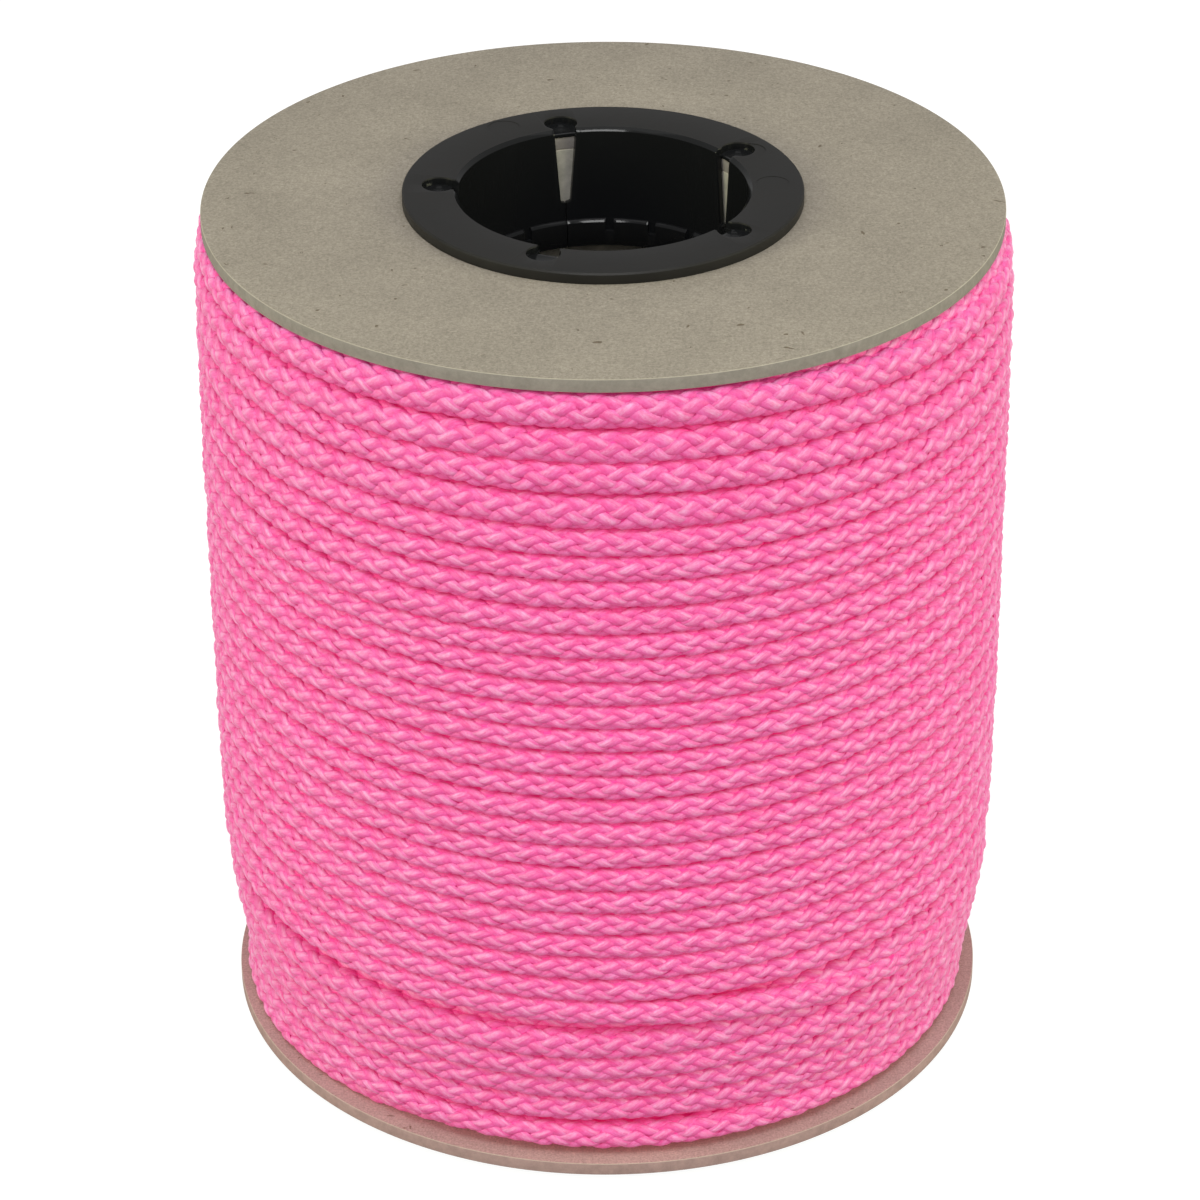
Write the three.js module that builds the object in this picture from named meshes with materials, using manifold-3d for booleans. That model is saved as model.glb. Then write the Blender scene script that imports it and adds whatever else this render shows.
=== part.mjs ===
// Spool of braided fishing cord, in millimetres, +Z up.
//
// Two die-cut greyboard discs close the ends of a cardboard core tube. A moulded
// hub is pushed into each end: its flange clamps the disc against the tube, and
// its slit sleeve grips the tube's bore. The cord is wound between the discs. Its
// outer layer runs down from the upper disc and stops short of the lower one,
// where the layer beneath it shows and carries the same helix on at a smaller radius.
//
// The origin is at the centre of the lower hub's face, which the spool stands on.

import * as THREE from "three";
import { mergeVertices } from "three/addons/utils/BufferGeometryUtils.js";
import Module from "manifold-3d";

// Core tube, a two-inch paper core.
const TUBE_BORE = 50.8;
const TUBE_WALL = 3.0;
const TRAVERSE = 146.4;

// Greyboard discs.
const DISC_DIAMETER = 133;
const DISC_THICKNESS = 2.3;
const DISC_EDGE_EASE = 0.25;

// Moulded hubs.
const HUB_FLANGE_WIDTH = 9.15;
const HUB_FLANGE_THICKNESS = 1.9;
const HUB_FLANGE_BEVEL = 0.4;
const HUB_FIT_CLEARANCE = 0.3;
const SLEEVE_WALL = 1.0;
const SLEEVE_DEPTH = 21.6;
const SLEEVE_LEAD_IN = 0.6;
const MOUTH_BEVEL = 0.5;
const COLLAR_LENGTH = 4.8;
const COLLAR_STEP = 0.8;

// Keyholes sunk in the hub's flange, each running into a tapered slot and a slit in its sleeve.
const KEYHOLE_COUNT = 5;
const KEYHOLE_DIAMETER = 5.7;
const KEYHOLE_FLOOR = 0.6;
const KEYHOLE_STANDOFF = 0.25;
const SLOT_WIDTH = 3.9;
const SLOT_END_WIDTH = 1.8;
const SLIT_WIDTH = 0.6;
const SLIT_LENGTH = 8.2;
const UPPER_HUB_TURN = THREE.MathUtils.degToRad(104.8);
const LOWER_HUB_TURN = THREE.MathUtils.degToRad(84.8);

// Wound cord.
const CORD_DIAMETER = 4.4;
const WINDING_DIAMETER = 137;
const LEAST_TURN_GAP = 0.6;
const OUTER_LAYER_END_HEIGHT = 27.4;
const OUTER_LAYER_END_ANGLE = THREE.MathUtils.degToRad(-60);
const LAYER_STEP = 3.2;
const LAYER_STEP_ANGLE = THREE.MathUtils.degToRad(15);
const WINDING_CLEARANCE = 0.3;

// Facets.
const ROUND_SEGMENTS = 60;
const KEYHOLE_SEGMENTS = 16;
const CORD_SIDES = 6;
const CORD_STEPS_PER_TURN = 24;

// Heights, from the face that the spool stands on.
const lowerDiscBottom = HUB_FLANGE_THICKNESS;
const lowerDiscTop = lowerDiscBottom + DISC_THICKNESS;
const upperDiscBottom = lowerDiscTop + TRAVERSE;
const upperDiscTop = upperDiscBottom + DISC_THICKNESS;
const spoolHeight = upperDiscTop + HUB_FLANGE_THICKNESS;

// Radii that fit one another.
const tubeBoreRadius = TUBE_BORE / 2;
const tubeOuterRadius = tubeBoreRadius + TUBE_WALL;
const sleeveOuterRadius = tubeBoreRadius - HUB_FIT_CLEARANCE;
const sleeveBoreRadius = sleeveOuterRadius - SLEEVE_WALL;
const flangeRadius = sleeveBoreRadius + HUB_FLANGE_WIDTH;
const keyholeCircleRadius = sleeveBoreRadius + KEYHOLE_STANDOFF + KEYHOLE_DIAMETER / 2;

// Depths into a hub, from its outer face.
const keyholeDepth = HUB_FLANGE_THICKNESS - KEYHOLE_FLOOR;
const collarDepth = SLEEVE_DEPTH - COLLAR_LENGTH;
const slotDepth = SLEEVE_DEPTH - SLIT_LENGTH;

// A six-sided section that has the round cord's area.
const cordSectionRadius =
  (CORD_DIAMETER / 2) * Math.sqrt((2 * Math.PI) / (CORD_SIDES * Math.sin((2 * Math.PI) / CORD_SIDES)));
const cordHalfWidth = cordSectionRadius * Math.cos(Math.PI / CORD_SIDES);

// The two layers' helices, by the height of their centre lines. Each turn of them anticlockwise
// about +Z drops by one pitch, and each layer has as many half turns as its height holds.
const outerLayerTop = upperDiscBottom - WINDING_CLEARANCE - cordHalfWidth;
const outerLayerBottom = lowerDiscTop + OUTER_LAYER_END_HEIGHT + cordHalfWidth;
const outerLayerTurns = turnsThatFit(outerLayerTop - outerLayerBottom);
const underLayerTop = outerLayerBottom;
const underLayerBottom = lowerDiscTop + WINDING_CLEARANCE + cordHalfWidth;
const underLayerTurns = turnsThatFit(underLayerTop - underLayerBottom);
const outerLayer = {
  radius: WINDING_DIAMETER / 2 - cordSectionRadius,
  top: outerLayerTop,
  pitch: (outerLayerTop - outerLayerBottom) / outerLayerTurns,
  turns: outerLayerTurns,
  startAngle: OUTER_LAYER_END_ANGLE - outerLayerTurns * 2 * Math.PI,
};
const underLayer = {
  radius: outerLayer.radius - LAYER_STEP,
  top: underLayerTop,
  pitch: (underLayerTop - underLayerBottom) / underLayerTurns,
  turns: underLayerTurns,
  startAngle: OUTER_LAYER_END_ANGLE + LAYER_STEP_ANGLE,
};
const packageBoreRadius = tubeOuterRadius + WINDING_CLEARANCE;

const greyboard = new THREE.MeshStandardMaterial({ color: 0xa49c8c, roughness: 0.9 });
const coreBoard = new THREE.MeshStandardMaterial({ color: 0xb5ab98, roughness: 0.92 });
const hubPlastic = new THREE.MeshStandardMaterial({ color: 0x1d1c1d, roughness: 0.42 });
const pinkCord = new THREE.MeshStandardMaterial({ color: 0xff69a5, roughness: 0.6 });
const innerCord = new THREE.MeshStandardMaterial({ color: 0xf0559a, roughness: 0.7 });

const wasm = await Module();
wasm.setup();

// The turns that a layer of this height holds, to the half turn below.
function turnsThatFit(height) {
  return Math.floor((2 * height) / (2 * cordHalfWidth + LEAST_TURN_GAP)) / 2;
}

function toSolid(geometry) {
  geometry.deleteAttribute("normal");
  geometry.deleteAttribute("uv");
  const merged = mergeVertices(geometry, 1e-4);
  return new wasm.Manifold(
    new wasm.Mesh({
      numProp: 3,
      vertProperties: new Float32Array(merged.attributes.position.array),
      triVerts: new Uint32Array(merged.index.array),
    }),
  );
}

function toGeometry(solid) {
  const mesh = solid.getMesh();
  const geometry = new THREE.BufferGeometry();
  geometry.setAttribute("position", new THREE.BufferAttribute(mesh.vertProperties, 3));
  geometry.setIndex(new THREE.BufferAttribute(mesh.triVerts, 1));
  geometry.computeVertexNormals();
  return geometry;
}

// Revolves a closed outline of [radius, height] corners, in anticlockwise order, about Z.
function revolve(outline, segments = ROUND_SEGMENTS) {
  const profile = [...outline, outline[0]].map(([radius, height]) => new THREE.Vector2(radius, height));
  return new THREE.LatheGeometry(profile, segments).rotateX(Math.PI / 2);
}

// A flat ring with its four edges eased.
function ringOutline(inner, outer, bottom, top, ease) {
  return [
    [inner + ease, bottom],
    [outer - ease, bottom],
    [outer, bottom + ease],
    [outer, top - ease],
    [outer - ease, top],
    [inner + ease, top],
    [inner, top - ease],
    [inner, bottom + ease],
  ];
}

function makeDisc(bottom) {
  return revolve(
    ringOutline(tubeBoreRadius, DISC_DIAMETER / 2, bottom, bottom + DISC_THICKNESS, DISC_EDGE_EASE),
  );
}

function makeCoreTube() {
  return revolve([
    [tubeBoreRadius, lowerDiscTop],
    [tubeOuterRadius, lowerDiscTop],
    [tubeOuterRadius, upperDiscBottom],
    [tubeBoreRadius, upperDiscBottom],
  ]);
}

// The hub's outline in [radius, depth], depth being measured inward from its outer face.
function hubOutline() {
  const collarBoreRadius = sleeveBoreRadius - COLLAR_STEP;
  return [
    [sleeveBoreRadius + MOUTH_BEVEL, 0],
    [flangeRadius - HUB_FLANGE_BEVEL, 0],
    [flangeRadius, HUB_FLANGE_BEVEL],
    [flangeRadius, HUB_FLANGE_THICKNESS],
    [sleeveOuterRadius, HUB_FLANGE_THICKNESS],
    [sleeveOuterRadius, SLEEVE_DEPTH - SLEEVE_LEAD_IN],
    [sleeveOuterRadius - SLEEVE_LEAD_IN, SLEEVE_DEPTH],
    [collarBoreRadius, SLEEVE_DEPTH],
    [collarBoreRadius, collarDepth + COLLAR_STEP],
    [sleeveBoreRadius, collarDepth],
    [sleeveBoreRadius, MOUTH_BEVEL],
  ];
}

// The tapered slot with its slit, seen from the hub's axis as [width, depth] corners.
function slotOutline() {
  const taper = (SLOT_WIDTH - SLOT_END_WIDTH) / slotDepth;
  const overrun = 1;
  const halfTop = (SLOT_WIDTH + taper * overrun) / 2;
  return [
    [halfTop, -overrun],
    [SLOT_END_WIDTH / 2, slotDepth],
    [SLIT_WIDTH / 2, slotDepth],
    [SLIT_WIDTH / 2, SLEEVE_DEPTH + overrun],
    [-SLIT_WIDTH / 2, SLEEVE_DEPTH + overrun],
    [-SLIT_WIDTH / 2, slotDepth],
    [-SLOT_END_WIDTH / 2, slotDepth],
    [-halfTop, -overrun],
  ];
}

// The cutter for one keyhole with its throat, slot and slit, on the +X side. The keyhole and its
// throat are sunk in the flange, and the slot goes right through the sleeve.
function makeKeyholeCutter(faceHeight, inward) {
  const hole = new THREE.CylinderGeometry(
    KEYHOLE_DIAMETER / 2,
    KEYHOLE_DIAMETER / 2,
    2 * keyholeDepth,
    KEYHOLE_SEGMENTS,
  ).rotateX(Math.PI / 2);
  hole.translate(keyholeCircleRadius, 0, faceHeight);

  const inside = sleeveBoreRadius - COLLAR_STEP - 1;
  const throatReach = keyholeCircleRadius - inside;
  const throat = new THREE.BoxGeometry(throatReach, SLOT_WIDTH, 2 * keyholeDepth);
  throat.translate(inside + throatReach / 2, 0, faceHeight);

  const outline = slotOutline().map(([width, depth]) => new THREE.Vector2(width, inward * depth));
  const slotReach = sleeveOuterRadius + HUB_FIT_CLEARANCE / 2 - inside;
  const slotShape = new THREE.Shape(outline);
  const slot = new THREE.ExtrudeGeometry(slotShape, { depth: slotReach, bevelEnabled: false });
  slot.rotateX(Math.PI / 2).rotateZ(Math.PI / 2);
  slot.translate(inside, 0, faceHeight);
  return toSolid(hole).add(toSolid(throat)).add(toSolid(slot));
}

// One hub. inward is +1 where its sleeve points up from faceHeight, and -1 where it points down.
function makeHub(faceHeight, inward, turn) {
  const outline = hubOutline().map(([radius, depth]) => [radius, faceHeight + inward * depth]);
  const blank = toSolid(revolve(inward > 0 ? outline : outline.reverse()));
  const keyhole = makeKeyholeCutter(faceHeight, inward);
  let hub = blank;
  for (let index = 0; index < KEYHOLE_COUNT; index += 1) {
    const angle = THREE.MathUtils.radToDeg(turn) + (index * 360) / KEYHOLE_COUNT;
    hub = hub.subtract(keyhole.rotate([0, 0, angle]));
  }
  return toGeometry(hub);
}

// The radius of the package under a layer, clear of the straight steps of its cord.
function radiusUnder(layer) {
  const steppedRadius = (layer.radius - cordSectionRadius) * Math.cos(Math.PI / CORD_STEPS_PER_TURN);
  return steppedRadius - WINDING_CLEARANCE;
}

// Skins rings of points that run clockwise as seen along the way from ring to ring. An open
// run of rings gets flat ends.
function skin(rings, closed) {
  const sides = rings[0].length;
  const triangles = [];
  const spans = closed ? rings.length : rings.length - 1;
  for (let ring = 0; ring < spans; ring += 1) {
    const here = ring * sides;
    const there = ((ring + 1) % rings.length) * sides;
    for (let side = 0; side < sides; side += 1) {
      const nextSide = (side + 1) % sides;
      triangles.push(here + side, there + side, there + nextSide);
      triangles.push(here + side, there + nextSide, here + nextSide);
    }
  }
  if (!closed) {
    const lastRing = (rings.length - 1) * sides;
    for (let side = 1; side + 1 < sides; side += 1) {
      triangles.push(0, side, side + 1);
      triangles.push(lastRing, lastRing + side + 1, lastRing + side);
    }
  }
  const geometry = new THREE.BufferGeometry().setFromPoints(rings.flat());
  geometry.setIndex(triangles);
  geometry.computeVertexNormals();
  return geometry;
}

function pointAt(radius, angle, height) {
  return new THREE.Vector3(radius * Math.cos(angle), radius * Math.sin(angle), height);
}

// The cord under the two layers that show, as one plain body. Its shoulder follows the
// helix: it lies just above the under layer's first turn, all the way round from the
// straight end of that turn.
function makePackage() {
  const bottom = lowerDiscTop + WINDING_CLEARANCE;
  const top = upperDiscBottom - WINDING_CLEARANCE;
  const straightEnd = (CORD_DIAMETER + WINDING_CLEARANCE) / (underLayer.radius * 2 * Math.PI);
  const rings = [];
  for (let segment = 0; segment < ROUND_SEGMENTS; segment += 1) {
    const turned = segment / ROUND_SEGMENTS - straightEnd;
    const angle = underLayer.startAngle + turned * 2 * Math.PI;
    const firstTurn = underLayer.top - underLayer.pitch * turned;
    const shoulder = firstTurn + cordHalfWidth + WINDING_CLEARANCE;
    rings.push([
      pointAt(packageBoreRadius, angle, bottom),
      pointAt(radiusUnder(underLayer), angle, bottom),
      pointAt(radiusUnder(underLayer), angle, shoulder),
      pointAt(radiusUnder(outerLayer), angle, shoulder),
      pointAt(radiusUnder(outerLayer), angle, top),
      pointAt(packageBoreRadius, angle, top),
    ]);
  }
  return skin(rings, true);
}

// One ring of the cord's section. It stands upright across the path at the given angle, and
// along shifts it down the tangent.
function cordRing(radius, angle, height, along = 0) {
  const ring = [];
  for (let side = 0; side < CORD_SIDES; side += 1) {
    const around = (side * 2 * Math.PI) / CORD_SIDES;
    const point = pointAt(
      radius + cordSectionRadius * Math.cos(around),
      angle,
      height + cordSectionRadius * Math.sin(around),
    );
    point.x -= along * Math.sin(angle);
    point.y += along * Math.cos(angle);
    ring.push(point);
  }
  return ring;
}

// The rings of one layer's cord: a helix with a straight stretch, one cord diameter long, at
// either end.
function layerRings({ radius, top, pitch, turns, startAngle }) {
  const steps = Math.round(turns * CORD_STEPS_PER_TURN);
  const rings = [cordRing(radius, startAngle, top, -CORD_DIAMETER)];
  for (let step = 0; step <= steps; step += 1) {
    const turned = step / CORD_STEPS_PER_TURN;
    rings.push(cordRing(radius, startAngle + turned * 2 * Math.PI, top - pitch * turned));
  }
  const endAngle = startAngle + turns * 2 * Math.PI;
  rings.push(cordRing(radius, endAngle, top - pitch * turns, CORD_DIAMETER));
  return rings;
}

// The least distance between the cord's surface points that lie half a turn or more apart.
function leastSelfGap(rings) {
  const apart = CORD_STEPS_PER_TURN / 2;
  let least = Infinity;
  for (let here = 0; here < rings.length; here += 1) {
    const reach = Math.min(rings.length, here + 3 * apart);
    for (let there = here + apart; there < reach; there += 1) {
      for (const a of rings[here]) {
        for (const b of rings[there]) {
          least = Math.min(least, a.distanceTo(b));
        }
      }
    }
  }
  return least;
}

function makeLayer(name, layer) {
  const rings = layerRings(layer);
  console.log(`${name}: least gap of the cord to itself ${leastSelfGap(rings).toFixed(2)} mm`);
  return skin(rings, false);
}

function named(name, geometry, material) {
  const mesh = new THREE.Mesh(geometry, material);
  mesh.name = name;
  return mesh;
}

const spool = new THREE.Group();
spool.add(
  named("lower_hub", makeHub(0, 1, LOWER_HUB_TURN), hubPlastic),
  named("lower_disc", makeDisc(lowerDiscBottom), greyboard),
  named("core_tube", makeCoreTube(), coreBoard),
  named("cord_package", makePackage(), innerCord),
  named("cord_under_layer", makeLayer("under layer", underLayer), pinkCord),
  named("cord_outer_layer", makeLayer("outer layer", outerLayer), pinkCord),
  named("upper_disc", makeDisc(upperDiscBottom), greyboard),
  named("upper_hub", makeHub(spoolHeight, -1, UPPER_HUB_TURN), hubPlastic),
);

export default spool;
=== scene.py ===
"""Looks for a spool of braided cord: greyboard discs, slit plastic hubs and a braided winding."""

import math

import bpy
import numpy as np
from mathutils import Matrix, Vector


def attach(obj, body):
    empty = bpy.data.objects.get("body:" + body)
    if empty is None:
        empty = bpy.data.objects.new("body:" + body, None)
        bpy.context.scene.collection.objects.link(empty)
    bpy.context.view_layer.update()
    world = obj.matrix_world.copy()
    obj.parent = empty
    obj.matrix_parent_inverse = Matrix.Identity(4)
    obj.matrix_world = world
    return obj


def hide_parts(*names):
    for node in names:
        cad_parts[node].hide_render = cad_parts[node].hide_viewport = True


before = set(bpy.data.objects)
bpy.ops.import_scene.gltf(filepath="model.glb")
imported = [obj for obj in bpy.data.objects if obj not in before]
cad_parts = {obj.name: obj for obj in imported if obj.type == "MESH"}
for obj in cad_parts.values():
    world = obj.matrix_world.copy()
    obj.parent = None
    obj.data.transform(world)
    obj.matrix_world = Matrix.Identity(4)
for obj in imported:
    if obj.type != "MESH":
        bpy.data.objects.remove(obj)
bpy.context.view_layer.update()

MM = 0.001

# Sizes of the spool, in millimetres, as in the CAD model.
TUBE_BORE_RADIUS = 25.4
TUBE_RADIUS = 28.4
DISC_RADIUS = 66.5
DISC_THICKNESS = 2.3
FLANGE_THICKNESS = 1.9
FLANGE_RADIUS = 33.25
SLEEVE_RADIUS = 25.1
SLEEVE_BORE_RADIUS = 24.1
SLEEVE_DEPTH = 21.6
COLLAR_DEPTH = 16.8
COLLAR_BORE_RADIUS = 23.3
KEYHOLE_RADIUS = 2.85
KEYHOLE_DEPTH = 1.3
KEYHOLE_CIRCLE_RADIUS = 27.2
SLOT_WIDTH = 3.9
SLOT_END_WIDTH = 1.8
SLOT_DEPTH = 13.4
LOWER_DISC_TOP = 4.2
UPPER_DISC_BOTTOM = 150.6
SPOOL_HEIGHT = 154.8
WINDING_CLEARANCE = 0.3

# Narrower than in the CAD model: the slit is closed to a fine line.
SLIT_WIDTH = 0.15

BLACK = (0, 0, 0)
WHITE = (1, 1, 1)

rng = np.random.default_rng(41)


# Meshes

def new_object(name, points, faces, material, smooth=True):
    """A mesh object from points in millimetres and lists of point numbers."""
    points = np.asarray(points, dtype=np.float32) * MM
    totals = np.array([len(face) for face in faces], dtype=np.int32)
    corners = np.concatenate([np.asarray(face, dtype=np.int32) for face in faces])
    mesh = bpy.data.meshes.new(name)
    mesh.vertices.add(len(points))
    mesh.vertices.foreach_set("co", points.ravel())
    mesh.loops.add(len(corners))
    mesh.loops.foreach_set("vertex_index", corners)
    mesh.polygons.add(len(totals))
    mesh.polygons.foreach_set("loop_start", np.cumsum(totals, dtype=np.int32) - totals)
    mesh.polygons.foreach_set("loop_total", totals)
    mesh.polygons.foreach_set("use_smooth", np.full(len(totals), smooth))
    mesh.update(calc_edges=True)
    mesh.validate()
    mesh.materials.append(material)
    made = bpy.data.objects.new(name, mesh)
    bpy.context.scene.collection.objects.link(made)
    return made


def grid_faces(rows, columns, close_rows=False, close_columns=False):
    """Quads over a grid of points, wrapped round where asked."""
    row_count = rows if close_rows else rows - 1
    column_count = columns if close_columns else columns - 1
    row, column = np.meshgrid(np.arange(row_count), np.arange(column_count), indexing="ij")
    next_row, next_column = (row + 1) % rows, (column + 1) % columns
    corners = [row * columns + column, row * columns + next_column,
               next_row * columns + next_column, next_row * columns + column]
    return np.stack(corners, axis=-1).reshape(-1, 4)


def revolved(name, outline, segments, material):
    """A ring: a closed outline of (radius, height) turned about Z."""
    outline = np.array(outline)
    angles = np.arange(segments) * 2 * math.pi / segments
    radius, height = outline[:, 0], outline[:, 1]
    points = np.stack([
        np.cos(angles)[:, None] * radius,
        np.sin(angles)[:, None] * radius,
        np.broadcast_to(height, (segments, len(outline))),
    ], axis=-1).reshape(-1, 3)
    faces = grid_faces(segments, len(outline), True, True)[:, ::-1]
    return new_object(name, points, faces, material)


def sharpen(made, degrees):
    """Smooth shading that breaks at edges steeper than this."""
    bpy.context.view_layer.objects.active = made
    made.select_set(True)
    bpy.ops.object.shade_smooth_by_angle(angle=math.radians(degrees))
    made.select_set(False)


def apply_modifiers(made):
    """Bakes an object's modifiers into its mesh."""
    graph = bpy.context.evaluated_depsgraph_get()
    mesh = bpy.data.meshes.new_from_object(made.evaluated_get(graph))
    made.modifiers.clear()
    old = made.data
    made.data = mesh
    bpy.data.meshes.remove(old)


# Materials

class Nodes:
    """A short way to build one material's node tree."""

    def __init__(self, name):
        self.material = bpy.data.materials.new(name)
        self.material.use_nodes = True
        self.tree = self.material.node_tree
        self.shader = self.tree.nodes["Principled BSDF"]

    def add(self, kind, **settings):
        node = self.tree.nodes.new("ShaderNode" + kind)
        for key, value in settings.items():
            setattr(node, key, value)
        return node

    def set(self, node, **values):
        for key, value in values.items():
            node.inputs[key.replace("_", " ")].default_value = value
        return node

    def link(self, source, target):
        self.tree.links.new(source, target)

    def place(self, scale=(1, 1, 1)):
        """Object coordinates, stretched."""
        where = self.add("TexCoord")
        stretched = self.add("Mapping")
        stretched.inputs["Scale"].default_value = scale
        self.link(where.outputs["Object"], stretched.inputs["Vector"])
        return stretched.outputs["Vector"]

    def noise(self, vector, scale, detail=3.0, roughness=0.5, distortion=0.0):
        node = self.add("TexNoise")
        self.set(node, Scale=scale, Detail=detail, Roughness=roughness, Distortion=distortion)
        self.link(vector, node.inputs["Vector"])
        return node.outputs["Fac"]

    def ramp(self, value, stops):
        node = self.add("ValToRGB")
        elements = node.color_ramp.elements
        while len(elements) < len(stops):
            elements.new(0.5)
        for element, (at, colour) in zip(elements, stops):
            element.position = at
            element.color = (*colour, 1)
        self.link(value, node.inputs["Fac"])
        return node.outputs["Color"]

    def mix(self, factor, first, second, blend="MIX"):
        node = self.add("Mix", data_type="RGBA", blend_type=blend)
        for socket, value in ((node.inputs[0], factor), (node.inputs[6], first), (node.inputs[7], second)):
            if hasattr(value, "is_linked"):
                self.link(value, socket)
            elif isinstance(value, tuple):
                socket.default_value = (*value, 1)
            else:
                socket.default_value = value
        return node.outputs[2]

    def math(self, operation, first, second=0.0):
        node = self.add("Math", operation=operation)
        for socket, value in zip(node.inputs, (first, second)):
            if hasattr(value, "is_linked"):
                self.link(value, socket)
            else:
                socket.default_value = value
        return node.outputs[0]

    def bump(self, height, strength, distance, under=None):
        node = self.add("Bump")
        self.set(node, Strength=strength, Distance=distance)
        self.link(height, node.inputs["Height"])
        if under is not None:
            self.link(under, node.inputs["Normal"])
        return node.outputs["Normal"]


def grey(level):
    return (level, level, level)


def scaled(colour, by):
    return tuple(part * by for part in colour)


def greyboard(name, face_colour, edge_colour, upper_painted_colour=None):
    """Matt recycled board: cloudy fibres, dark specks and a torn edge, with a painted highlight along its rounded
    edges. Its upper face can take a second colour, used for painted reflected light.
    """
    m = Nodes(name)
    place = m.place()
    facing = m.add("NewGeometry")
    split = m.add("SeparateXYZ")
    m.link(facing.outputs["Normal"], split.inputs[0])
    cloud = m.noise(place, 60, 4, 0.6)
    fibre = m.noise(m.place((1, 3.2, 1)), 700, 5, 0.75, 0.8)
    cross = m.noise(m.place((3, 1, 1)), 640, 5, 0.75, 0.8)
    grain = m.noise(place, 2600, 3, 0.65)

    def clouded(colour):
        return m.ramp(cloud, [(0.3, scaled(colour, 0.93)), (0.7, scaled(colour, 1.07))])

    face = clouded(face_colour)
    # Painted reflected light: a second colour on the upward-facing side only.
    if upper_painted_colour:
        upper = m.ramp(split.outputs["Z"], [(0.3, BLACK), (0.75, WHITE)])
        face = m.mix(upper, face, clouded(upper_painted_colour))
    mixed_fibre = m.math("MULTIPLY", fibre, cross)
    streak = m.ramp(mixed_fibre, [(0.12, grey(0.84)), (0.42, grey(1.14))])
    face = m.mix(1.0, face, streak, "MULTIPLY")
    mottle = m.ramp(grain, [(0.3, (0.78, 0.78, 0.77)), (0.7, (1.2, 1.2, 1.21))])
    face = m.mix(1.0, face, mottle, "MULTIPLY")
    for stretch, scale, least in (((1, 1.7, 1), 300, 0.715), ((1.9, 1, 1), 420, 0.725)):
        specks = m.noise(m.place(stretch), scale, 2, 0.55, 0.3)
        speck = m.ramp(specks, [(least, WHITE), (least + 0.035, (0.50, 0.45, 0.40))])
        face = m.mix(1.0, face, speck, "MULTIPLY")

    torn = m.noise(place, 520, 4, 0.7)
    edge = m.ramp(torn, [(0.32, scaled(edge_colour, 0.84)), (0.68, scaled(edge_colour, 1.12))])
    upright = m.math("ABSOLUTE", split.outputs["Z"])
    is_face = m.ramp(upright, [(0.35, BLACK), (0.75, WHITE)])
    # Painted highlight: a pale line along the rounded edges, top and bottom, where the faces turn into the edge.
    arris_highlight = m.ramp(upright, [(0.2, BLACK), (0.45, grey(0.5)), (0.8, grey(0.5)), (0.97, BLACK)])
    m.link(m.mix(arris_highlight, m.mix(is_face, edge, face), (0.62, 0.56, 0.48)), m.shader.inputs["Base Color"])
    m.set(m.shader, Roughness=0.88)
    m.shader.inputs["Specular IOR Level"].default_value = 0.25
    fine = m.bump(grain, 0.35, 0.00006)
    m.link(m.bump(mixed_fibre, 0.5, 0.00012, fine), m.shader.inputs["Normal"])
    return m.material


def black_plastic():
    """Moulded black plastic: satin on the flange's outer face and edge, glossy everywhere else."""
    satin_depth, satin_from_bore, satin_from_rim = 0.25, 0.6, 0.4
    m = Nodes("hub_plastic")
    place = m.place()
    haze = m.noise(place, 130, 4, 0.6)
    dust = m.noise(place, 1900, 2, 0.5)
    split = m.add("SeparateXYZ")
    m.link(place, split.inputs[0])
    squares = m.math("ADD", m.math("POWER", split.outputs["X"], 2.0), m.math("POWER", split.outputs["Y"], 2.0))
    across = m.math("POWER", squares, 0.5)
    from_middle = m.math("ABSOLUTE", m.math("SUBTRACT", split.outputs["Z"], SPOOL_HEIGHT * MM / 2))
    face = m.math("GREATER_THAN", from_middle, (SPOOL_HEIGHT / 2 - satin_depth) * MM)
    past_bore = m.math("GREATER_THAN", across, (SLEEVE_BORE_RADIUS + satin_from_bore) * MM)
    face = m.math("MULTIPLY", face, past_bore)
    edge = m.math("GREATER_THAN", across, (FLANGE_RADIUS - satin_from_rim) * MM)
    outside = m.math("MAXIMUM", face, edge)
    satin = m.ramp(haze, [(0.3, (0.012, 0.0115, 0.0115)), (0.7, (0.017, 0.016, 0.016))])
    m.link(m.mix(outside, (0.009, 0.0095, 0.0105), satin), m.shader.inputs["Base Color"])
    polish = m.ramp(haze, [(0.3, grey(0.08)), (0.7, grey(0.15))])
    dull = m.ramp(haze, [(0.3, grey(0.44)), (0.7, grey(0.54))])
    m.link(m.mix(outside, polish, dull), m.shader.inputs["Roughness"])
    m.shader.inputs["Specular IOR Level"].default_value = 0.3
    fine = m.bump(dust, 0.18, 0.00003)
    m.link(m.bump(haze, 0.08, 0.0001, fine), m.shader.inputs["Normal"])
    return m.material


def painted_glow(m):
    """A slight painted glow on the cord: an emission that lifts its shading, standing for the brightness of its
    fluorescent dye.
    """
    m.shader.inputs["Emission Color"].default_value = (1.0, 0.04, 0.36, 1)
    m.shader.inputs["Emission Strength"].default_value = 0.09


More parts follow.
